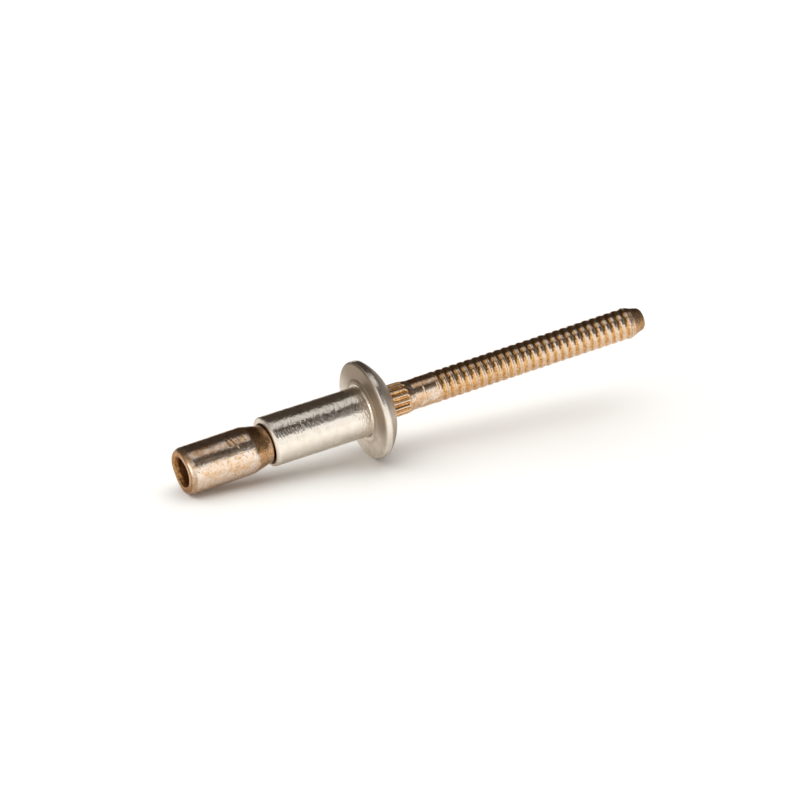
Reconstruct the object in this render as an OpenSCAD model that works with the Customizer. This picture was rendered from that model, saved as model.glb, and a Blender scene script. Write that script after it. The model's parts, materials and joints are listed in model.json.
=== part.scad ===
// Structural blind rivet, also called a pop rivet, as it is supplied: a headed sleeve on its pull mandrel.
// It lies as it comes to rest, on the rim of its flange and the rounded nose of its hollow head.
// The origin is the centre of the flange's bearing face, which seats on the sheet that the rivet clamps.
// +X runs toward the pull stem and +Z is up. Both pieces are drawn upright along Z, then laid down together.

/* [Sleeve] */
// Diameter of the shank, which fills the hole in the sheets
shank_d = 4.8; // [4.7:0.05:4.9]
// Length of the shank under the flange
shank_length = 10.1; // [9.5:0.1:10.6]
// Rounding of the outer edge at the blind end
shank_edge_r = 0.28; // [0.1:0.02:0.32]
// Radius of the fillet between the shank and the flange
root_fillet_r = 0.3; // [0.2:0.02:0.4]
// Diameter of the hole through the sleeve
bore_d = 3.24; // [3.2:0.02:3.3]
// Diameter of the flared mouth at the blind end
mouth_d = 3.96; // [3.88:0.02:4.1]
// Depth of the flare
mouth_depth = 1.2; // [1:0.1:2]

/* [Flange] */
// Diameter of the flange
flange_d = 9.4; // [9:0.1:9.6]
// Height of the dome above the bearing face
flange_h = 2.4; // [2.2:0.02:2.5]
// Height at which the dome leaves the rim
rim_h = 0.74; // [0.5:0.02:0.8]
// Rounding under the rim
rim_edge_r = 0.33; // [0.2:0.01:0.38]
// Radius at which the dome becomes level
dome_level_r = 1.2; // [1:0.1:1.5]

/* [Mandrel head] */
// Diameter of the head, which is drawn into the sleeve and swells it
head_d = 4.58; // [4.5:0.02:4.7]
// Length of the head's straight part
head_length = 5.92; // [5.5:0.02:6.5]
// Length of the cone from the straight part to the neck
cone_length = 1.44; // [1.2:0.02:1.6]
// Diameter of the neck that enters the sleeve
neck_d = 3.72; // [3.5:0.02:3.74]
// Length of the neck that shows between the cone and the sleeve
neck_gap = 0.56; // [0.4:0.02:0.7]
// Length of the rounded nose along the axis
nose_length = 0.85; // [0.6:0.05:1]
// Radial size of the nose's rounding
nose_round = 0.5; // [0.4:0.02:0.6]
// Diameter of the hollow in the head
hollow_d = 2.9; // [2.7:0.02:3]
// Depth of the hollow's straight wall
hollow_depth = 2.6; // [2:0.1:4]

/* [Pull stem] */
// Diameter of the stem that the setting tool grips
stem_d = 2.92; // [2.8:0.02:3]
// Length of the stem beyond the flange's bearing face
stem_length = 29.3; // [29:0.05:30]
// Diameter of the shank inside the sleeve
inner_d = 3; // [2.9:0.02:3.1]
// Diameter left at the break notch
notch_d = 2.1; // [1.9:0.02:2.4]
// Distance of the break notch from the bearing face
notch_at = 0.9; // [0.7:0.02:1]
// Width of the break notch
notch_w = 0.8; // [0.6:0.02:0.9]
// Number of splines, which hold the mandrel in the bore
spline_count = 16; // [12:1:18]
// Diameter over the splines
spline_d = 3.16; // [3.1:0.02:3.18]
// Diameter between the splines
spline_root_d = 2.8; // [2.7:0.02:2.9]
// Width of a spline's crest
spline_crest_w = 0.17; // [0.1:0.01:0.2]
// Distance from the bearing face to the end of the splines' crests
spline_end = 4.15; // [4:0.05:4.3]
// Length over which the splines run out into the stem
spline_runout = 0.55; // [0.52:0.01:0.7]
// Number of pull grooves
groove_count = 26; // [20:1:26]
// Distance from the bearing face to the first pull groove's middle
groove_start = 7.8; // [7.6:0.05:7.9]
// Distance between one pull groove and the next
groove_pitch = 0.775; // [0.74:0.005:0.78]
// Width of a pull groove
groove_w = 0.42; // [0.36:0.01:0.45]
// Depth of a pull groove
groove_depth = 0.07; // [0.05:0.01:0.12]
// Diameter at the tip
tip_d = 2.02; // [1.9:0.02:2.2]
// Length of the tapered tip
tip_length = 1.25; // [1:0.05:1.3]
// Step between the stem and the taper
tip_step = 0.05; // [0.04:0.01:0.1]

/* [Hidden] */
$fn = 96;
margin = 0.5;                                  // how far a cut runs past what it cuts
seam_turn = 2.65;                              // keeps the sleeve's seam off the line that it lies on

shank_r = shank_d / 2;
bore_r = bore_d / 2;
mouth_r = mouth_d / 2;
flange_r = flange_d / 2;
dome_h = flange_h - rim_h;
dome_r = (pow(flange_r - dome_level_r, 2) + pow(dome_h, 2)) / (2 * dome_h);

head_r = head_d / 2;
neck_r = neck_d / 2;
hollow_r = hollow_d / 2;
stem_r = stem_d / 2;
inner_r = inner_d / 2;
notch_r = notch_d / 2;
spline_r = spline_d / 2;
spline_root_r = spline_root_d / 2;
tip_r = tip_d / 2;

neck_z = -shank_length - neck_gap;             // where the cone meets the neck
shoulder_z = neck_z - cone_length;             // where the cone meets the straight part
crease_z = shoulder_z - head_length;           // where the straight part meets the nose
nose_centre_r = head_r - nose_round;           // outer radius of the head's end face
nose_tip_z = crease_z - nose_length;           // the head's end face
neck_end_z = -shank_length + 0.15;             // where the neck starts to narrow inside the mouth
inner_end_z = neck_end_z + 0.5;                // where it has narrowed to the inner shank
hollow_end_z = nose_tip_z + hollow_depth;
notch_top_z = notch_at + notch_w / 2;
notch_bottom_z = notch_at - notch_w / 2;
stem_end_z = stem_length - tip_length;

// A round valley of a given width and depth, cut into a crest circle of radius r
function valley_r(w, depth) = (pow(w / 2, 2) + pow(depth, 2)) / (2 * depth);
groove_r = valley_r(groove_w, groove_depth);
spline_valley_w = 2 * PI * spline_r / spline_count - spline_crest_w;
spline_valley_depth = spline_r - spline_root_r;
spline_valley_r = valley_r(spline_valley_w, spline_valley_depth);

// The rivet touches the surface under it along a line from the nose's rounding to the rim's.
// The tilt is the angle between that line and the axis. nose_reach is how far the nose reaches out from the
// centre of its rounding, square to that line; a first guess of the tilt gives it closely enough.
rim_x = flange_r - rim_edge_r;                 // centre of the rim's rounding, from the axis
rim_run = rim_edge_r - crease_z;               // from the centre of the nose's rounding to it, along the axis
rim_rise = rim_x - nose_centre_r;              // and away from the axis
rim_off = norm([rim_run, rim_rise]);
function tilt_for(nose_reach) = atan(rim_rise / rim_run) + asin((rim_edge_r - nose_reach) / rim_off);
first_tilt = tilt_for(nose_round);
tilt = tilt_for(norm([nose_length * sin(first_tilt), nose_round * cos(first_tilt)]));

module laid_down() {
    rotate([0, 90 - tilt, 0]) children();
}

// The corner that a rounding of radius r removes, with the rounding's centre at the origin
module corner_waste(r) {
    difference() {
        square(r + margin);
        circle(r = r);
    }
}

module shank_section() {
    difference() {
        translate([0, -shank_length]) square([shank_r, shank_length + rim_h]);
        translate([shank_r - shank_edge_r, -shank_length + shank_edge_r])
            mirror([0, 1]) corner_waste(shank_edge_r);
    }
    difference() {
        translate([0, -root_fillet_r]) square([shank_r + root_fillet_r, root_fillet_r + rim_h]);
        translate([shank_r + root_fillet_r, -root_fillet_r]) circle(r = root_fillet_r);
    }
}

module flange_section() {
    difference() {
        intersection() {
            square([flange_r, flange_h]);
            union() {
                translate([dome_level_r, flange_h - dome_r]) circle(r = dome_r);
                square([dome_level_r, flange_h]);
            }
        }
        translate([rim_x, rim_edge_r]) mirror([0, 1]) corner_waste(rim_edge_r);
    }
}

module bore_section() {
    translate([0, -shank_length - margin]) square([bore_r, shank_length + flange_h + 2 * margin]);
    polygon([
        [0, -shank_length - margin],
        [mouth_r, -shank_length - margin],
        [mouth_r, -shank_length],
        [bore_r, -shank_length + mouth_depth],
        [0, -shank_length + mouth_depth]
    ]);
}

module rivet_body() {
    color([0.80, 0.77, 0.73]) laid_down() rotate([0, 0, seam_turn]) rotate_extrude() difference() {
        union() {
            shank_section();
            flange_section();
        }
        bore_section();
    }
}

module hollow_section() {
    polygon([
        [0, nose_tip_z - margin],
        [hollow_r, nose_tip_z - margin],
        [hollow_r, hollow_end_z],
        [0, hollow_end_z + hollow_r / 2]
    ]);
}

// A quarter of an ellipse between the end face and the straight part
module nose_section() {
    translate([0, nose_tip_z]) square([nose_centre_r, nose_length]);
    intersection() {
        translate([nose_centre_r, crease_z]) scale([nose_round, nose_length]) circle(r = 1);
        translate([nose_centre_r, nose_tip_z]) square([nose_round, nose_length]);
    }
}

module mandrel_section() {
    difference() {
        union() {
            nose_section();
            polygon([
                [0, crease_z],
                [head_r, crease_z],
                [head_r, shoulder_z],
                [neck_r, neck_z],
                [neck_r, neck_end_z],
                [inner_r, inner_end_z],
                [inner_r, notch_bottom_z],
                [notch_r, notch_at],
                [spline_r, notch_top_z],
                [spline_r, spline_end],
                [stem_r, spline_end + spline_runout],
                [stem_r, stem_end_z],
                [stem_r - tip_step, stem_end_z],
                [tip_r, stem_length],
                [0, stem_length]
            ]);
        }
        hollow_section();
    }
}

// One valley between two splines, open at the break notch and rounded where it runs out
module spline_valley() {
    translate([spline_root_r + spline_valley_r, 0, notch_at]) {
        cylinder(r = spline_valley_r, h = spline_end - notch_at);
        translate([0, 0, spline_end - notch_at]) sphere(r = spline_valley_r);
    }
}

module pull_groove() {
    rotate_extrude() translate([stem_r - groove_depth + groove_r, 0]) circle(r = groove_r);
}

module mandrel() {
    color([0.80, 0.62, 0.38]) laid_down() difference() {
        rotate_extrude() mandrel_section();
        for (i = [0 : spline_count - 1])
            rotate([0, 0, i * 360 / spline_count]) spline_valley();
        for (i = [0 : groove_count - 1])
            translate([0, 0, groove_start + i * groove_pitch]) pull_groove();
    }
}

rivet_body();
mandrel();
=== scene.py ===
import json
import math

import bpy
from mathutils import Matrix, Vector, noise


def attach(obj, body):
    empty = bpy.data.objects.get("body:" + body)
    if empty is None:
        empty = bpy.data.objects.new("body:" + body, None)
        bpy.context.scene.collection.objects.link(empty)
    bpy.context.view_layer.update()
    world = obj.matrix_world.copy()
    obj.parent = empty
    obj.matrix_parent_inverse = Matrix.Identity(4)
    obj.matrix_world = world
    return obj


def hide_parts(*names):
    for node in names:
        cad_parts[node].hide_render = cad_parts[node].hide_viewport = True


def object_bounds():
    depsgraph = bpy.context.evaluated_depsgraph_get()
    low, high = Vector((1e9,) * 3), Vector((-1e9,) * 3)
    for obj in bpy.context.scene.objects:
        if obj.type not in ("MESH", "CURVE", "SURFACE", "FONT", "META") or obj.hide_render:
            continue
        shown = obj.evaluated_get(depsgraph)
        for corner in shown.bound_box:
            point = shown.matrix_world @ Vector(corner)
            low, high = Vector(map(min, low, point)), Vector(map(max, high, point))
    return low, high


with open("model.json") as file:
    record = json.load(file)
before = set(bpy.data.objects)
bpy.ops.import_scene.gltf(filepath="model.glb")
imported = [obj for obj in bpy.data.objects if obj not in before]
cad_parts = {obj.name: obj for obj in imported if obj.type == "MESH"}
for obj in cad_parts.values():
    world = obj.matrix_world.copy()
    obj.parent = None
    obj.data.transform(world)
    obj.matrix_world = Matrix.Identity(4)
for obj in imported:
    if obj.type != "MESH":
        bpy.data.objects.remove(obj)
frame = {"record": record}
cad_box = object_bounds()

# ---------------------------------------------------------------------------------------------
# Sleeve: the silver rivet body, a tube with a domed flange, cold-headed from steel wire and then
# drilled. It is barrel-plated with zinc and cleared, so its shank is bright, while the underside
# of the flange, the blind end and the flared mouth keep the dull skin of the forging.
# ---------------------------------------------------------------------------------------------

mounts = {mount["name"]: mount for mount in frame["record"]["mounts"]}
bearing_centre = Vector(mounts["flange_face"]["pos_m"])
along = Vector(mounts["pull_stem"]["axis"]).normalized()      # from the blind end to the pull end
lean = math.atan2(along.z, along.x)                           # how far the rivet tips up as it lies
over = Vector((-math.sin(lean), 0, math.cos(lean)))           # square to the axis, upward
MM = 0.001

OVER_NOMINAL = 0.015       # how far shank and stem stand over their nominal radius
SHANK_R = mounts["shank"]["dims"]["r_mm"] + OVER_NOMINAL
BLIND_END = -10.1          # the sleeve's open end, along the axis from the flange's bearing face
BORE_R = 1.62
MOUTH_R = 2.0
FLARE = 1.2                # depth of the flared mouth
END_ROUND = 0.28
ROOT_ROUND = 0.1           # fillet between shank and the ring under the flange
ROOT_R = 2.5               # where the root ends and the flange's underside starts
RING_R = 2.87              # flat of the washer-like ring that the heading die left round the shank
RING_HEIGHT = 0.15
FLANGE_R = 4.69
RIM_ROUND = 0.33
RIM_HEIGHT = 0.74
DOME_HEIGHT = 2.4
DOME_LEVEL_R = 1.2         # the dome is level inside this radius
MOUTH_OFF = 0.14           # how far the mouth is off centre
MOUTH_OFF_TO = math.radians(140)       # the turn toward which it is
END_OUT = 0.05             # how far the blind end stands out
END_SLANT = 0.08           # and how far it is out of square
LEAN_TO = math.radians(-28)            # the turn toward which the blind end is raised
SLEEVE_LEAN = math.tan(math.radians(0.8))       # how steeply the sleeve sits askew on the mandrel
SLEEVE_LIFT = 0.01         # and how far the whole of it is shifted that way
UNDERSIDE_AT = math.radians(150)       # the turn of the underside, low on the front, where shade is painted
SIDES = 160                # steps round each piece


def outward(turn):
    """The direction out from the axis at a turn, which runs from the top of the rivet toward its front."""
    return over * math.cos(turn) + Vector((0, -1, 0)) * math.sin(turn)


def place(along_mm, out_mm, turn):
    """A point on the rivet: along the axis, out from it, and turned about it."""
    return bearing_centre + (along * along_mm + outward(turn) * out_mm) * MM


def rounding(centre, radius, start, end, steps):
    """Points of an arc in a section (along, out), with its angles in degrees."""
    points = []
    for i in range(steps + 1):
        a = math.radians(start + (end - start) * i / steps)
        points.append((centre[0] + radius * math.cos(a), centre[1] + radius * math.sin(a)))
    return points


def stepped(points, longest):
    """The same section with every straight piece cut into steps no longer than longest."""
    fine = [points[0]]
    for a, b in zip(points, points[1:]):
        n = max(1, math.ceil(math.dist(a, b) / longest))
        fine += [(a[0] + (b[0] - a[0]) * i / n, a[1] + (b[1] - a[1]) * i / n) for i in range(1, n + 1)]
    return fine


def ease(low, high, value):
    """0 below low, 1 above high and a soft S between them."""
    t = min(1, max(0, (value - low) / (high - low)))
    return t * t * (3 - 2 * t)


def near(value, middle, width):
    """A soft hump of height 1 round middle."""
    return math.exp(-((value - middle) / width) ** 2)


def patchy(along_mm, out_mm, turn, size, seed):
    """Smooth unevenness from -1 to 1 in patches of that size in mm. Each seed gives another pattern."""
    point = Vector((along_mm, out_mm * math.cos(turn), out_mm * math.sin(turn))) / size
    return noise.noise(point + Vector((seed, seed * 1.7, seed * 0.6)))


def turned(name, section, start, shape, marks, ring):
    """A piece turned from its section. shape moves each point, and marks write named values on it.
    ring closes the section on itself; otherwise it starts and ends on the axis."""
    corners, faces, rows, values = [], [], [], {mark: [] for mark in marks}
    for along_mm, out_mm in section:
        count = 1 if out_mm == 0 else SIDES
        rows.append((len(corners), count))
        for k in range(count):
            turn = (start + 2 * math.pi * k / SIDES) % (2 * math.pi)
            corners.append(place(*shape(along_mm, out_mm, turn), turn))
            for mark, rule in marks.items():
                values[mark].append(rule(along_mm, out_mm, turn))
    pairs = list(zip(rows, rows[1:])) + ([(rows[-1], rows[0])] if ring else [])
    for (first, n), (second, m) in pairs:
        for k in range(SIDES):
            k2 = (k + 1) % SIDES
            quad = [first + k % n, first + k2 % n, second + k2 % m, second + k % m]
            faces.append(list(dict.fromkeys(quad)))
    mesh = bpy.data.meshes.new(name)
    mesh.from_pydata(corners, [], faces)
    for mark, numbers in values.items():
        mesh.attributes.new(mark, "FLOAT", "POINT").data.foreach_set("value", numbers)
    mesh.shade_smooth()
    mesh.update()
    piece = bpy.data.objects.new(name, mesh)
    bpy.context.scene.collection.objects.link(piece)
    return piece


dome_rise = DOME_HEIGHT - RIM_HEIGHT
dome_reach = FLANGE_R - DOME_LEVEL_R
dome_round = (dome_reach ** 2 + dome_rise ** 2) / (2 * dome_rise)
dome_start = math.degrees(math.asin(dome_reach / dome_round))

sleeve_section = (
    [(BLIND_END + FLARE, BORE_R), (BLIND_END + 0.06, MOUTH_R - 0.02)]
    + rounding((BLIND_END + 0.07, MOUTH_R + 0.05), 0.07, 225, 180, 3)
    + rounding((BLIND_END + END_ROUND, SHANK_R - END_ROUND), END_ROUND, 180, 90, 10)
    + rounding((-RING_HEIGHT - ROOT_ROUND, SHANK_R + ROOT_ROUND), ROOT_ROUND, 270, 360, 8)
    + [(-RING_HEIGHT - 0.005, RING_R - 0.2), (-RING_HEIGHT, RING_R), (-RING_HEIGHT + 0.02, RING_R + 0.05)]
    + [(-0.09, RING_R + 0.12), (-0.04, RING_R + 0.18), (-0.01, RING_R + 0.24), (0.0, RING_R + 0.3)]
    + rounding((RIM_ROUND, FLANGE_R - RIM_ROUND), RIM_ROUND, 180, 90, 12)
    + [(RIM_HEIGHT - 0.06, FLANGE_R - 0.005)]
    + rounding((DOME_HEIGHT - dome_round, DOME_LEVEL_R), dome_round, dome_start - 1.2, 6, 26)
    + [(DOME_HEIGHT - 0.02, BORE_R + 0.1)]
    + rounding((DOME_HEIGHT - 0.12, BORE_R + 0.1), 0.1, 0, -90, 4)
)


def sleeve_shape(a, r, turn):
    """Lumps left by heading and tumbling, a mouth off its centre, and a blind end that isn't square."""
    lump = 0.012 * patchy(a, r, turn, 2.2, 3.0) + 0.004 * patchy(a, r, turn, 0.7, 8.0)
    at_end = 1 - ease(BLIND_END, BLIND_END + FLARE, a)
    slant = (END_OUT + END_SLANT * math.cos(turn - LEAN_TO)) * at_end
    if r > ROOT_R + 0.05 and a < 0.02:                             # the bearing face
        return a + 0.012 * patchy(a, r, turn, 1.5, 12.0), r
    if a < BLIND_END + 0.3 and r < SHANK_R - 0.1:                  # the mouth
        r += MOUTH_OFF * math.cos(turn - MOUTH_OFF_TO) * at_end * (1 - ease(MOUTH_R, SHANK_R - 0.02, r))
        return a - slant + 0.015 * patchy(a, r, turn, 0.7, 6.0), r + 0.02 * patchy(a, r, turn, 0.9, 5.0)
    if a > 0.3 and r > 3:                                          # the rim and the dome
        return a + lump, r + min(0, lump)
    if r < BORE_R + 0.28:                                          # the bore, which stays true
        return a - slant, r
    return a - slant, r + lump


def underside(turn, low=0.3, high=0.8):
    """1 low on the front side, where the metal is duller and shade is painted darker."""
    return ease(low, high, math.cos(turn - UNDERSIDE_AT))


def sleeve_dull(a, r, turn):
    """1 on the forged skin and 0 on the bright shank, with a little along its underside. The root under
    the flange is bright at the front only."""
    root = ease(0.5, 0.8, 1 - math.cos(turn - math.radians(57))) * ease(SHANK_R, SHANK_R + 0.04, r)
    under = max(ease(ROOT_R, ROOT_R + 0.1, r), root) * (1 - ease(0.0, 0.12, a))
    end = (1 - ease(BLIND_END + 0.1, BLIND_END + 0.32, a)) * ease(MOUTH_R - 0.05, MOUTH_R + 0.02, r)
    inside = 1 - ease(MOUTH_R, MOUTH_R + 0.05, r)
    rim = max(0.15 + 0.45 * underside(turn), 1 - ease(0.15, 0.3, a))
    rim *= ease(FLANGE_R - 0.5, FLANGE_R - 0.35, r)
    dome = ease(RIM_HEIGHT - 0.15, RIM_HEIGHT, a)
    return min(1, max(under, rim, dome, 0.26 * underside(turn)) + end + inside)


def darkened_and_painted_shade(a, r, turn):
    """How far the metal is darkened toward grey-brown. Most of it is painted shade: on the upper part of
    the flange's bearing face and along the shank's underside, and less along the underside of rim and dome,
    over a darker tone all round the dome."""
    # painted shade along the underside of dome, rim and shank and on the upper bearing face, over a darker
    # tone on the whole dome
    if a > RIM_HEIGHT - 0.1:
        return 0.35 + 0.5 * underside(turn)
    if r < ROOT_R:
        return underside(turn) * (a > BLIND_END + 0.4)
    if a > 0.22:
        return 0.5 * underside(turn)
    upper = ease(-0.5, 0.7, math.cos(turn - math.radians(20)))
    return upper * ease(ROOT_R, ROOT_R + 0.2, r) * (1 - ease(0.06, 0.2, a))


sleeve_marks = {"dull": sleeve_dull, "darkened_and_painted_shade": darkened_and_painted_shade}
sleeve = turned("sleeve", stepped(sleeve_section, 0.12), 0, sleeve_shape, sleeve_marks, ring=True)

# It sits a little askew on the mandrel, as far as its loose bore lets it, with its blind end up.
for corner in sleeve.data.vertices:
    from_flange = (bearing_centre - corner.co).dot(along)
    corner.co += outward(LEAN_TO) * (SLEEVE_LIFT * MM + max(0, from_flange) * SLEEVE_LEAN)


def colour(code):
    """An sRGB hex value as linear red, green, blue and alpha."""
    parts = [int(code[i:i + 2], 16) / 255 for i in (1, 3, 5)]
    return [p / 12.92 if p <= 0.04045 else ((p + 0.055) / 1.055) ** 2.4 for p in parts] + [1]


def add(tree, kind, sockets=None, stops=None, **settings):
    """Adds a node with its settings. sockets maps each input to its value or to the output that feeds
    it, and stops are the (place, hex) pairs of a colour ramp."""
    made = tree.nodes.new(kind)
    for setting, value in settings.items():
        setattr(made, setting, value)
    for socket, value in (sockets or {}).items():
        if isinstance(value, bpy.types.NodeSocket):
            tree.links.new(value, made.inputs[socket])
        else:
            made.inputs[socket].default_value = value
    for i, (at, code) in enumerate(stops or []):
        element = made.color_ramp.elements[i] if i < 2 else made.color_ramp.elements.new(at)
        element.position, element.color = at, colour(code)
    return made


def new_material(name):
    material = bpy.data.materials.new(name)
    material.use_nodes = True
    material.node_tree.nodes.clear()
    return material, material.node_tree


# Clear zinc plate over tumbled steel: a bright slightly warm silver, with a fine grain that breaks
# up the edges of what it mirrors, and greyer and duller where the forging's skin is left.
zinc, tree = new_material("clear_zinc_plated_steel")
coords = add(tree, "ShaderNodeTexCoord").outputs["Object"]
# turned so that X runs along the rivet, in millimetres
laid = {"Rotation": (0, lean, 0), "Scale": (1 / MM, 1 / MM, 1 / MM)}
metal = add(tree, "ShaderNodeMapping", {"Vector": coords, **laid}).outputs[0]
dull = add(tree, "ShaderNodeAttribute", attribute_name="dull").outputs["Fac"]
# cloudy plating in patches of about 0.8 mm
cloud_settings = {"Vector": metal, "Scale": 1.2, "Detail": 5, "Roughness": 0.65}
cloud = add(tree, "ShaderNodeTexNoise", cloud_settings).outputs["Fac"]
# tumbling grain, drawn out a little round the shank, 0.15 by 0.3 mm. That is coarser than the real
# grain, so that it shows.
across = add(tree, "ShaderNodeMapping", {"Vector": metal, "Scale": (6.5, 3.2, 3.2)}).outputs[0]
grain_settings = {"Vector": across, "Scale": 1.0, "Detail": 2, "Roughness": 0.5}
grain = add(tree, "ShaderNodeTexNoise", grain_settings).outputs["Fac"]
bright_stops = [(0.3, "#EFE6D8"), (0.75, "#FCF6EE"), (0.52, "#F9F1E4")]
skin_stops = [(0.3, "#DACDBE"), (0.75, "#F4ECE2"), (0.52, "#EADFD2")]
bright_zinc = add(tree, "ShaderNodeValToRGB", {0: cloud}, bright_stops).outputs[0]
skin_zinc = add(tree, "ShaderNodeValToRGB", {0: cloud}, skin_stops).outputs[0]
# the skin turns toward a darker grey-brown: painted shade along the underside and on the upper bearing face,
# and a darker tone on the dome
painted_shade_amount = add(tree, "ShaderNodeAttribute", attribute_name="darkened_and_painted_shade").outputs["Fac"]
painted_shade_mix = {0: painted_shade_amount, 6: skin_zinc, 7: colour("#988774")}
skin_zinc = add(tree, "ShaderNodeMix", painted_shade_mix, data_type="RGBA").outputs[2]
dulling = {0: dull, 6: bright_zinc, 7: skin_zinc}
zinc_colour = add(tree, "ShaderNodeMix", dulling, data_type="RGBA").outputs[2]
shank_rough = add(tree, "ShaderNodeMapRange", {0: cloud, 1: 0.3, 2: 0.7, 3: 0.13, 4: 0.22}).outputs[0]
zinc_rough = add(tree, "ShaderNodeMix", {0: dull, 2: shank_rough, 3: 0.5}).outputs[0]
zinc_bump = add(tree, "ShaderNodeBump", {"Height": grain, "Strength": 1.0, "Distance": 0.000037}).outputs[0]
plate = {"Base Color": zinc_colour, "Metallic": 1.0, "Roughness": zinc_rough, "Normal": zinc_bump}
shader = add(tree, "ShaderNodeBsdfPrincipled", plate)
add(tree, "ShaderNodeOutputMaterial", {0: shader.outputs[0]})
sleeve.data.materials.append(zinc)
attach(sleeve, "root")
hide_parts("rivet_body")

# ---------------------------------------------------------------------------------------------
# Mandrel: one piece of steel wire with a hollow head, which the setting tool draws into the
# sleeve. Splines hold it in the bore, and rolled pull grooves give the tool its grip. It has a
# yellow chromate over its zinc, thick and gold in every recess and rubbed pale on every crest.
# ---------------------------------------------------------------------------------------------

CREASE = -18.17            # where the head's straight part meets its rounded nose
HEAD_R = 2.29
SHOULDER = -12.1           # where the straight part meets the cone
NECK = -10.66
NECK_R = 1.85
NECK_END = -9.95
INNER_R = 1.45
NOSE_LENGTH = 0.72         # of the quarter ellipse between the straight part and the end face
NOSE_ROUND = 0.41          # its size out from the axis
SKIN_END = -18.34          # edge of the nose's dull skin
HOLLOW_R = 1.47
HOLLOW_WALL = 1.34         # radius of the hollow behind its rough lead-in
HOLLOW_DEPTH = 2.6
CHAMFER = 0.36             # depth of the lead-in
NOTCH_AT = 0.9
NOTCH_R = 1.05
SPLINES = 16
SPLINE_R = 1.565
SPLINE_ROOT_R = 1.4
SPLINE_CREST = 0.1         # width of a crest
SPLINE_PHASE = math.radians(55.15)     # the turn at which one crest lies
SPLINE_END = 4.25
SPLINE_RUNOUT = 0.75       # length over which the wire narrows past the splines
BAND_START = SPLINE_END + 0.8
BAND_R = 1.425             # the plain band between splines and grooves
STEM_R = mounts["pull_stem"]["dims"]["r_mm"] + OVER_NOMINAL
RIB_AT = (5.98, 7.36)      # two fine rings of burr on the plain band
RIB_HEIGHT = 0.035
FIRST_GROOVE = 7.8         # the middle of the first pull groove
BAND_END = FIRST_GROOVE - 0.3
ROLLED_FROM = FIRST_GROOVE - 0.25
GROOVES = 26
PITCH = 0.775
GROOVE_DEEP = 0.06
LAND_AT = 0.48             # the middle of a land, from the middle of the groove before it
LAND_CROWN = 0.01          # how far a land falls off at its edges
SEAM_DEEP = 0.035
SEAMED_LANDS = 14          # how many lands have a deep seam
FINE_LINES = (27.72, 27.92, 28.1)      # fine rings before the tip
FINE_LINE_HEIGHT = 0.03
TAPER = 28.14              # where the tapered tip starts
TIP_END = 29.34
TIP_R = 1.0
NICKED = (-14.6, -12.6)    # the stretch of the head that has nicks
NICKS = (                  # (along, turn in degrees) of both ends of each nick, and its depth
    ((-14.40, 16), (-14.28, 42), 0.045),
    ((-13.95, 18), (-13.70, 50), 0.045),
    ((-13.33, 20), (-13.20, 36), 0.02),
    ((-12.78, 20), (-12.66, 38), 0.02),
)
PIT = (3.65, math.radians(105))        # along and turn of a pit in one spline valley
PIT_DEEP = 0.06
DENT_AT = math.radians(240)            # the turn at which the end face is dented
STREAK_AT = 0.6            # the turn of a brown streak along the head
NOSE_HIGHLIGHT_AT = 1.05        # the turn of the painted highlight on the nose, where its skin is thinned
HOLLOW_HIGHLIGHT_AT = 1.1       # and of the painted highlight on the hollow's edge
STEM_BEND = math.tan(math.radians(0.335))

end_face = CREASE - NOSE_LENGTH
ellipse = [math.radians(5 * i) for i in range(19)]
nose = [(CREASE - NOSE_LENGTH * math.cos(t), HEAD_R - NOSE_ROUND * (1 - math.sin(t))) for t in ellipse]

hollow_end = end_face + HOLLOW_DEPTH
hollow = [(hollow_end + 0.7, 0), (hollow_end, HOLLOW_WALL), (end_face + CHAMFER + 0.1, HOLLOW_WALL)]
lead_in = [(end_face + CHAMFER, HOLLOW_WALL), (end_face + 0.03, HOLLOW_R), (end_face, HOLLOW_R + 0.05)]
cone = [(SHOULDER + 0.35, HEAD_R - 0.125), (NECK - 0.4, NECK_R + 0.16), (NECK - 0.1, NECK_R + 0.07)]
neck = [(NECK + 0.1, NECK_R + 0.02), (BLIND_END - 0.06, NECK_R - 0.01), (BLIND_END + 0.02, NECK_R - 0.09)]
band = [
    (SPLINE_END - 0.15, SPLINE_R),
    (SPLINE_END + SPLINE_RUNOUT - 0.13, BAND_R + 0.01),
    (SPLINE_END + SPLINE_RUNOUT, BAND_R),
    (RIB_AT[0] - 0.24, BAND_R + 0.01),
]
rib_steps = (-0.12, -0.08, -0.05, -0.02, 0.0, 0.02, 0.04, 0.08)
first_rib, second_rib = ([(at + step, BAND_R + 0.015) for step in rib_steps] for at in RIB_AT)

# the section's steps over a groove and over a land, finer where the land has a deep seam
GROOVE_STEPS = (-0.22, -0.18, -0.14, -0.1, -0.05, 0.0, 0.06, 0.12, 0.18, 0.24, 0.3)
SEAMED_LAND_STEPS = (0.36, 0.4, 0.44, 0.48, 0.52)
LAND_STEPS = (0.36, 0.42, 0.48)
grooved = []
for n in range(GROOVES):
    steps = GROOVE_STEPS + (SEAMED_LAND_STEPS if n < SEAMED_LANDS else LAND_STEPS)
    grooved += [(FIRST_GROOVE + n * PITCH + step, STEM_R) for step in steps]

before_tip = [(FINE_LINES[0] - 0.1, STEM_R), (FINE_LINES[0], STEM_R - 0.015), (TAPER - 0.02, STEM_R - 0.1)]
tip = [(TAPER + 0.02, STEM_R - 0.13), (TAPER + 0.2, 1.3), (TAPER + 0.4, 1.215), (TAPER + 0.98, TIP_R + 0.07)]

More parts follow.
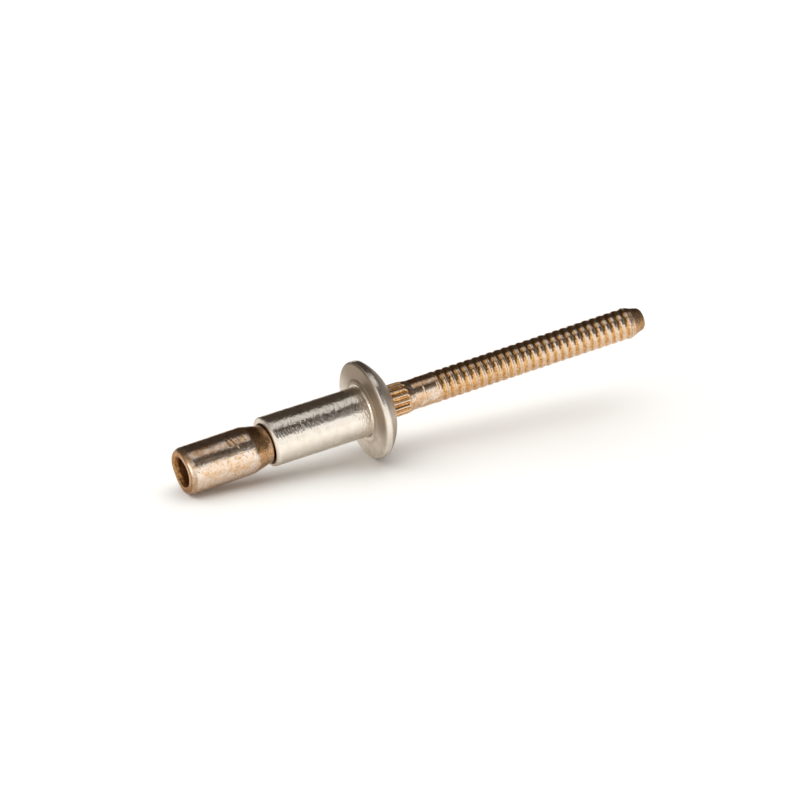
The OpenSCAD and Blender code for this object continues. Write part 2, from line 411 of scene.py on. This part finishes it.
mandrel_section = (
    stepped(hollow, 0.4)
    + stepped(lead_in, 0.08)
    + nose
    + stepped([(CREASE + 0.08, HEAD_R), (NICKED[0] - 0.05, HEAD_R)], 0.12)
    + stepped([(NICKED[0], HEAD_R), (NICKED[1], HEAD_R)], 0.05)
    + stepped([(NICKED[1] + 0.07, HEAD_R), (SHOULDER - 0.35, HEAD_R)], 0.12)
    + [(SHOULDER - 0.2, HEAD_R - 0.008), (SHOULDER, HEAD_R - 0.035), (SHOULDER + 0.2, HEAD_R - 0.08)]
    + stepped(cone, 0.12)
    + stepped(neck, 0.1)
    + [(NECK_END, NECK_R - 0.2), (NECK_END + 0.5, INNER_R)]
    + [(NOTCH_AT - 0.4, INNER_R), (NOTCH_AT, NOTCH_R), (NOTCH_AT + 0.4, SPLINE_R)]
    + stepped([(NOTCH_AT + 0.45, SPLINE_R), (DOME_HEIGHT - 0.2, SPLINE_R)], 0.3)
    + stepped([(DOME_HEIGHT - 0.15, SPLINE_R), (SPLINE_END - 0.8, SPLINE_R)], 0.12)
    + stepped([(SPLINE_END - 0.75, SPLINE_R), (SPLINE_END - 0.2, SPLINE_R)], 0.06)
    + stepped(band, 0.07)
    + first_rib
    + stepped([(RIB_AT[0] + 0.16, BAND_R + 0.02), (RIB_AT[1] - 0.25, BAND_R + 0.02)], 0.1)
    + second_rib
    + [(7.5, STEM_R - 0.01), (7.54, STEM_R)]
    + grooved
    + stepped(before_tip, 0.03)
    + stepped(tip, 0.1)
    + [(TIP_END - 0.12, TIP_R), (TIP_END - 0.04, TIP_R - 0.07), (TIP_END, TIP_R - 0.17)]
    + [(TIP_END, 0.5), (TIP_END, 0)]
)


def valley(a, turn):
    """0 on a spline's crest and up to 1 in the middle of the valley between two, with rounded ends."""
    pitch = 2 * math.pi / SPLINES
    off = abs((turn - SPLINE_PHASE + pitch / 2) % pitch - pitch / 2) * SPLINE_R
    half = pitch * SPLINE_R / 2
    across = min(1, max(0, (off - SPLINE_CREST / 2) / (half - SPLINE_CREST / 2) * 1.5))
    end = SPLINE_END + 0.04 - 0.16 * (1 - across)
    return ease(0, 1, across) * (1 - ease(end - 0.07, end + 0.03, a)) * ease(NOTCH_AT, NOTCH_AT + 0.35, a)


def past_groove(a):
    """Which pull groove a point is in or just past, and how far it is past the groove's middle."""
    n = min(GROOVES - 1, max(0, math.floor((a - ROLLED_FROM) / PITCH)))
    return n, a - FIRST_GROOVE - n * PITCH


def groove(a):
    """1 in a pull groove and 0 on the lands, with soft slopes between."""
    n, past = past_groove(a)
    return ease(-0.19, 0.1, past) * (1 - ease(0.17, 0.44, past))


def seam(a):
    """1 in the seam that the rolling dies left round each land, deepest near the first groove."""
    n, past = past_groove(a)
    return near(past, LAND_AT, 0.035) * (1 - 0.8 * ease(8, SEAMED_LANDS, n)) if n < GROOVES - 1 else 0.0


def nick(a, turn):
    """Depth, in mm, of the nicks that the feeder left across the head."""
    deepest = 0.0
    for (a0, t0), (a1, t1), depth in NICKS:
        start = Vector((a0, math.radians(t0) * HEAD_R))
        run = Vector((a1, math.radians(t1) * HEAD_R)) - start
        point = Vector((a, turn * HEAD_R)) - start
        reached = min(1, max(0, point.dot(run) / run.length_squared))
        deepest = max(deepest, depth * near((point - run * reached).length, 0, 0.05))
    return deepest


def pit(a, turn):
    """1 in the middle of the pit, down to 0 round it."""
    return near(math.hypot(a - PIT[0], (turn - PIT[1]) * SPLINE_R), 0, 0.08)


def mandrel_shape(a, r, turn):
    """Splines, grooves, seams, rings, nicks and a pit, with the lumps that forming and tumbling left."""
    in_head = a < NECK_END
    if r < 0.6:                                                    # the ends, near the axis
        return a, r
    if in_head and r < HOLLOW_R + 0.01:                            # the wall of the hollow
        ragged = near(a, end_face + CHAMFER, 0.12) * patchy(a, r, turn, 0.5, 23.0)
        return a + 0.1 * ragged, r + 0.03 * patchy(a, r, turn, 0.6, 21.0)
    if NOTCH_AT < a < BAND_START:
        rough = 0.014 * patchy(a, r, turn, 0.16, 25.0)
        r -= (SPLINE_R - SPLINE_ROOT_R - rough) * valley(a, turn) + PIT_DEEP * pit(a, turn)
        return a, r + 0.01 * patchy(a, r, turn, 0.4, 26.0)
    lump = 0.012 * patchy(a, r, turn, 2.0, 31.0) + 0.008 * patchy(a, r, turn, 0.7, 37.0)
    if in_head:
        at_end = 1 - ease(end_face + 0.1, CREASE + 0.3, a)
        slant = 0.04 * math.cos(turn - LEAN_TO) - 0.025 * patchy(a, r, turn, 0.9, 41.0)
        slant -= 0.06 * near(turn, DENT_AT, 0.6)
        return a - at_end * slant, r + lump - nick(a, turn)
    if a > SPLINE_END:
        for at in RIB_AT:                                          # burrs, steep on their tip side
            r += RIB_HEIGHT * ease(at - 0.1, at, a) * (1 - ease(at, at + 0.05, a))
        for at in FINE_LINES:
            r += FINE_LINE_HEIGHT * near(a, at, 0.035)
        n, past = past_groove(a)
        rolled = ease(ROLLED_FROM, FIRST_GROOVE, a)
        crown = min(LAND_CROWN, LAND_CROWN * ((past - LAND_AT) / 0.13) ** 2)
        crown *= rolled * (1 - ease(27.5, 27.6, a))
        fine = 0.006 * patchy(a, r, turn, 0.22, 51.0) * rolled
        return a, r + 0.4 * lump + fine - GROOVE_DEEP * groove(a) - SEAM_DEEP * seam(a) - crown
    return a, r


def rubbed_and_painted_light(a, r, turn):
    """1 where handling and rolling have rubbed the chromate pale: crests, lands, rings and patches of
    the plain band and the edge of the nose's skin. The front of the hollow's edge gets a painted
    highlight, and the lands are kept less pale along the underside as painted shade."""
    if NOTCH_AT < a < SPLINE_END + 0.2:
        crest = 1 - min(1, 7 * valley(a, turn))
        return 0.7 * crest * (1 - ease(SPLINE_END - 0.02, SPLINE_END + 0.12, a))
    if a > SPLINE_END + 0.2:
        line = 0.6 * max(near(a, at - 0.01, 0.035) for at in RIB_AT)
        worn_band = 0.85 * ease(-0.05, 0.25, patchy(a, r, turn, 0.75, 61.0)) if a < BAND_END else 0.0
        n, past = past_groove(a)
        land = 1 - min(1, 1.6 * groove(a) + 1.2 * seam(a))
        land *= ease(FIRST_GROOVE - 0.05, FIRST_GROOVE + 0.2, a)
        wear_and_under_shade = 0.4 + 0.5 * ease(6, 18, n) + 0.35 * patchy(a, r, turn, 0.8, 55.0)
        # less pale along the underside: painted shade
        wear_and_under_shade *= 1 - 0.5 * underside(turn, 0.1, 0.5)
        wear_and_under_shade *= 1 - 0.8 * ease(FINE_LINES[0] - 0.1, FINE_LINES[0], a)
        return min(1, max(line, worn_band, land * wear_and_under_shade))
    if a < CREASE + 0.2 and r > HOLLOW_R - 0.05:
        skin_edge = near(a, SKIN_END + 0.03, 0.04)
        # a painted highlight on the front of the hollow's edge
        hollow_edge_highlight = near(r, HOLLOW_R + 0.03, 0.05) * ease(0.3, 0.9, math.cos(turn - HOLLOW_HIGHLIGHT_AT))
        return max(0.6 * skin_edge, 0.8 * hollow_edge_highlight)
    return 0.0


def thick(a, r, turn):
    """1 where the chromate is thick and deep gold: the nicks, the spline valleys, beside the rings on
    the plain band, and the pull grooves and seams."""
    if a < NECK_END:
        return min(1, 20 * nick(a, turn))
    if a < BAND_START:
        return max(0.5, min(1, 2.5 * valley(a, turn)))
    if a < BAND_END:
        return max(0.45, *(near(a, at + 0.05, 0.05) for at in RIB_AT))
    return max(0.4, min(1, 1.3 * groove(a) + 0.8 * seam(a)))


def pooled_and_painted_shade(a, r, turn):
    """1 where the chromate has pooled and dried brown: the hollow, the end face, the cone and the neck,
    the pit, the splines' run-out, the flange side of each groove, the rings before the tip and the
    tip. It is also thinly browner along the top, and darker along the underside as painted shade."""
    if a < NECK_END and r < HOLLOW_R + 0.001:
        return 0.9
    if a < end_face + 0.06:
        return 0.95
    # browner along the top, and along the underside a painted shade
    along_top = ease(0.65, 0.9, math.cos(turn - math.radians(8)))
    browner_top_and_under_shade = max(0.36 * underside(turn, 0.25, 0.6), 0.3 * along_top)
    if a < NECK_END + 0.5:
        streak = 0.3 * near(turn, STREAK_AT, 0.35) * ease(-0.2, 0.4, patchy(a, r, turn, 0.8, 47.0))
        cone_edge = SHOULDER - 0.1 + 0.3 * patchy(a, r, turn, 0.7, 49.0)
        on_cone = (0.85 - 0.1 * ease(NECK - 0.3, NECK, a)) * ease(cone_edge, cone_edge + 0.4, a)
        return max(on_cone, browner_top_and_under_shade + streak)
    if a < BAND_START:
        runout = 0.5 * near(a, SPLINE_END + 0.3, 0.3)
        return max(0.8 * pit(a, turn), runout, browner_top_and_under_shade + 0.25 * valley(a, turn))
    n, past = past_groove(a)
    wall = near(past, -0.04, 0.08) if a > BAND_END else 0.0
    ring = 0.7 * max(near(a, at, 0.05) for at in FINE_LINES)
    return max(1.2 * browner_top_and_under_shade, 0.35 * wall, 0.4 * seam(a), ring, 0.95 * ease(TAPER, TAPER + 0.05, a))


def skin_and_painted_highlight(a, r, turn):
    """1 on the tip, in the hollow and on the nose, which keep a dull grey-brown skin. The front of the
    nose has less of it, a painted highlight that also leaves it smoother there."""
    if a > TAPER:
        return 1.0
    if r < HOLLOW_R:
        return 1.0 * (a < NECK_END)
    # less skin at the front of the nose: a painted highlight
    return (1 - 0.6 * near(turn, NOSE_HIGHLIGHT_AT, 0.3)) * (1 - ease(SKIN_END - 0.05, SKIN_END + 0.02, a))


mandrel_marks = {"rubbed_and_painted_light": rubbed_and_painted_light, "thick": thick, "pooled_and_painted_shade": pooled_and_painted_shade, "skin_and_painted_highlight": skin_and_painted_highlight}
mandrel = turned("mandrel_piece", mandrel_section, SPLINE_PHASE, mandrel_shape, mandrel_marks, ring=False)

# Its stem is bent down a third of a degree at the break notch, where it is weakest.
for corner in mandrel.data.vertices:
    beyond = (corner.co - bearing_centre).dot(along) - NOTCH_AT * MM
    corner.co -= outward(LEAN_TO) * max(0, beyond) * STEM_BEND

# Yellow-chromated zinc on cold-formed steel: a satin cream that shifts to gold, peach and olive in
# soft cloudy patches, deep gold where the film is thick, pinkish white where it is rubbed, and
# brown where the solution pooled.
# Paler painted highlights lie on the front of the nose and of the hollow's edge, and painted shade darkens
# the film along its underside.
gold, tree = new_material("yellow_chromated_zinc_plated_steel")
coords = add(tree, "ShaderNodeTexCoord").outputs["Object"]
metal = add(tree, "ShaderNodeMapping", {"Vector": coords, **laid}).outputs[0]
drawn = add(tree, "ShaderNodeMapping", {"Vector": metal, "Scale": (0.6, 6, 6)}).outputs[0]
marks = {}
for mark in mandrel_marks:
    marks[mark] = add(tree, "ShaderNodeAttribute", attribute_name=mark).outputs["Fac"]
# chromate clouds of about half a millimetre, drifts of colour of 1.5 mm, specks of 0.15 mm, brown
# freckles of 0.1 to 0.2 mm, and fine lines that drawing the wire left along it
pattern_settings = {
    "clouds": {"Vector": metal, "Scale": 1.9, "Detail": 5, "Roughness": 0.65},
    "drifts": {"Vector": metal, "Scale": 0.6, "Detail": 2, "Roughness": 0.5},
    "specks": {"Vector": metal, "Scale": 6.0, "Detail": 3, "Roughness": 0.7},
    "freckles": {"Vector": metal, "Scale": 4.0, "Detail": 2, "Roughness": 0.5},
    "lines": {"Vector": drawn, "Scale": 1.0, "Detail": 3, "Roughness": 0.6},
}
patterns = {}
for name, sockets in pattern_settings.items():
    patterns[name] = add(tree, "ShaderNodeTexNoise", sockets).outputs["Fac"]
# each shade of the film, with the pattern that it follows
film_colours = {
    "cream": ("clouds", [
        (0.3, "#E8BE8C"), (0.72, "#FDF6F0"), (0.42, "#F6DEC2"), (0.52, "#FBEEE0"), (0.62, "#FDF4EA"),
    ]),
    "blush": ("clouds", [
        (0.3, "#E2BC90"), (0.72, "#FFF0C8"), (0.42, "#F4D8B8"), (0.52, "#FAE2CC"), (0.62, "#FCE9D8"),
    ]),
    "thick": ("specks", [(0.3, "#A06A32"), (0.72, "#F6D2A0"), (0.42, "#D09650"), (0.55, "#EAB878")]),
    "rubbed_and_painted_light": ("specks", [(0.35, "#DDC3AA"), (0.65, "#F6E9DC")]),
    "pooled_and_painted_shade": ("specks", [(0.32, "#5A3818"), (0.72, "#E0B070"), (0.5, "#A8743A")]),
    "skin_and_painted_highlight": ("clouds", [(0.36, "#A88C74"), (0.66, "#F0E2D0"), (0.5, "#D2BCA2")]),
}
shades = {}
for name, (pattern, stops) in film_colours.items():
    shades[name] = add(tree, "ShaderNodeValToRGB", {0: patterns[pattern]}, stops).outputs[0]
drift = add(tree, "ShaderNodeMapRange", {0: patterns["drifts"], 1: 0.42, 2: 0.58}).outputs[0]
freckle_range = {0: patterns["freckles"], 1: 0.4, 2: 0.33, 3: 0.0, 4: 0.5}
freckled = add(tree, "ShaderNodeMapRange", freckle_range).outputs[0]
# blush drifts over the cream, freckles over both, and then the marks on the metal, which carry painted
# highlights and shade too
coats = [(drift, "blush"), (freckled, "pooled_and_painted_shade")]
coats += [(marks[mark], mark) for mark in ("thick", "skin_and_painted_highlight", "pooled_and_painted_shade", "rubbed_and_painted_light")]
toned = shades["cream"]
for amount, shade in coats:
    toned = add(tree, "ShaderNodeMix", {0: amount, 6: toned, 7: shades[shade]}, data_type="RGBA").outputs[2]
satin = {0: patterns["lines"], 1: 0.35, 2: 0.65, 3: 0.13, 4: 0.23}
gold_rough = add(tree, "ShaderNodeMapRange", satin).outputs[0]
for mark, roughness in (("pooled_and_painted_shade", 0.22), ("skin_and_painted_highlight", 0.42)):
    gold_rough = add(tree, "ShaderNodeMix", {0: marks[mark], 2: gold_rough, 3: roughness}).outputs[0]
specks_and_lines = {0: patterns["specks"], 1: patterns["lines"]}
relief = add(tree, "ShaderNodeMath", specks_and_lines, operation="ADD").outputs[0]
gold_bump = add(tree, "ShaderNodeBump", {"Height": relief, "Strength": 0.8, "Distance": 0.000014}).outputs[0]
chromate = {"Base Color": toned, "Metallic": 1.0, "Roughness": gold_rough, "Normal": gold_bump}
shader = add(tree, "ShaderNodeBsdfPrincipled", chromate)
add(tree, "ShaderNodeOutputMaterial", {0: shader.outputs[0]})
mandrel.data.materials.append(gold)
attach(mandrel, "root")
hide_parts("mandrel")

# ---------------------------------------------------------------------------------------------
# Studio: the rivet lies on a wide flat sheet of matt white paper, in a dark room with soft lamps
# and pale cards, which its bright metal mirrors.
# ---------------------------------------------------------------------------------------------

SHEET_R = 1.3              # in metres
floor_height = cad_box[0][2]
turns = [math.radians(turn) for turn in range(0, 360, 5)]
edge = [(SHEET_R * math.cos(turn), SHEET_R * math.sin(turn), floor_height) for turn in turns]
mesh = bpy.data.meshes.new("sheet")
mesh.from_pydata(edge, [], [range(len(edge))])
sheet = bpy.data.objects.new("sheet", mesh)
bpy.context.scene.collection.objects.link(sheet)

# Matt white paper. It glows a little to the eye and in the metal, so that it stays white.
paper, tree = new_material("white_paper_sheet")
paths = add(tree, "ShaderNodeLightPath").outputs
seen = paths["Is Camera Ray"]
for path in ("Is Glossy Ray", "Is Transmission Ray"):
    seen = add(tree, "ShaderNodeMath", {0: seen, 1: paths[path]}, operation="MAXIMUM").outputs[0]
lift = add(tree, "ShaderNodeMath", {0: seen, 1: 0.05}, operation="MULTIPLY").outputs[0]
matt = add(tree, "ShaderNodeBsdfDiffuse", {"Color": colour("#F0EFEC")})
glow = add(tree, "ShaderNodeEmission", {"Strength": lift})
both = add(tree, "ShaderNodeAddShader", {0: matt.outputs[0], 1: glow.outputs[0]})
add(tree, "ShaderNodeOutputMaterial", {0: both.outputs[0]})
sheet.data.materials.append(paper)

# A dark warm room round the sheet.
world = bpy.data.worlds.new("studio")
bpy.context.scene.world = world
world.use_nodes = True
room = world.node_tree.nodes["Background"].inputs
room["Color"].default_value = (0.055, 0.042, 0.033, 1)
room["Strength"].default_value = 1.0


def lamp(name, centre, width, height, brightness, aim=(0, 0, 0)):
    """A flat soft lamp or card. brightness is what it shows when mirrored, where 1 is white."""
    light = bpy.data.lights.new(name, "AREA")
    light.shape = "RECTANGLE"
    light.size, light.size_y = width, height
    light.energy = brightness * math.pi * width * height
    made = bpy.data.objects.new(name, light)
    made.location = centre
    made.rotation_euler = (Vector(centre) - Vector(aim)).to_track_quat("Z", "Y").to_euler()
    made.visible_camera = False
    bpy.context.scene.collection.objects.link(made)
    return made


# A white card stands in front, with a dim grey one above its right half and a white one above its
# left half. At the left stands a tall soft lamp, with a small bright one low in front of it and a
# small card higher up. A wide dimmed panel hangs overhead, and the right has only a dim grey card.
front_card = lamp("front_card", (-0.03, -0.6, 0.165), 1.14, 0.34, 0.95, aim=(-0.03, 0, 0.165))
grey_card = lamp("grey_card", (0.3, -0.6, 0.55), 0.5, 0.42, 0.08, aim=(0.3, 0, 0.55))
high_card = lamp("high_card", (-0.28, -0.6, 0.64), 0.64, 0.6, 0.9, aim=(-0.28, 0, 0.64))
front_card.visible_diffuse = grey_card.visible_diffuse = high_card.visible_diffuse = False
lamp("left_softbox", (-0.56, -0.03, 0.33), 0.66, 0.46, 0.65)
lamp("left_high_card", (-0.47, -0.33, 0.48), 0.3, 0.3, 0.45)
lamp("left_spot", (-0.5, -0.19, 0.06), 0.32, 0.12, 4.5)
lamp("overhead_panel", (-0.02, -0.045, 0.6), 0.57, 0.35, 0.66, aim=(-0.02, -0.045, 0))
lamp("right_card", (0.6, -0.15, 0.3), 0.7, 0.6, 0.15)
# A large high lamp lights the sheet evenly and isn't mirrored in the metal.
room_light = lamp("room_light", (0.0, 0.4, 1.5), 3.2, 3.2, 1.7)
room_light.visible_glossy = False

# ---------------------------------------------------------------------------------------------
# Camera: a very long lens from the front left, looking down on the rivet, so that its far end looks
# hardly smaller than its near end.
# ---------------------------------------------------------------------------------------------

DISTANCE = 1.476           # in metres, from what it is aimed at
AIM_RIGHT = 0.00347        # how far that is right of the centre of the bearing face, in metres
AIM_UP = 0.00102           # and above it
azimuth, elevation, roll = math.radians(-27.61), math.radians(22.55), math.radians(0.153)
level_part = math.cos(elevation)
back = Vector((math.sin(azimuth) * level_part, -math.cos(azimuth) * level_part, math.sin(elevation)))
level = Vector((math.cos(azimuth), math.sin(azimuth), 0))
right = level * math.cos(roll) - back.cross(level) * math.sin(roll)
up = back.cross(right)
target = bearing_centre + right * AIM_RIGHT + up * AIM_UP
camera = bpy.data.objects.new("camera", bpy.data.cameras.new("camera"))
camera.data.sensor_width = 36
camera.data.lens = 720
camera.data.clip_start, camera.data.clip_end = 0.05, 10
camera.matrix_world = Matrix((right, up, back)).transposed().to_4x4()
camera.location = target + back * DISTANCE
bpy.context.scene.collection.objects.link(camera)
bpy.context.scene.camera = camera
bpy.context.scene.view_settings.view_transform = "Standard"
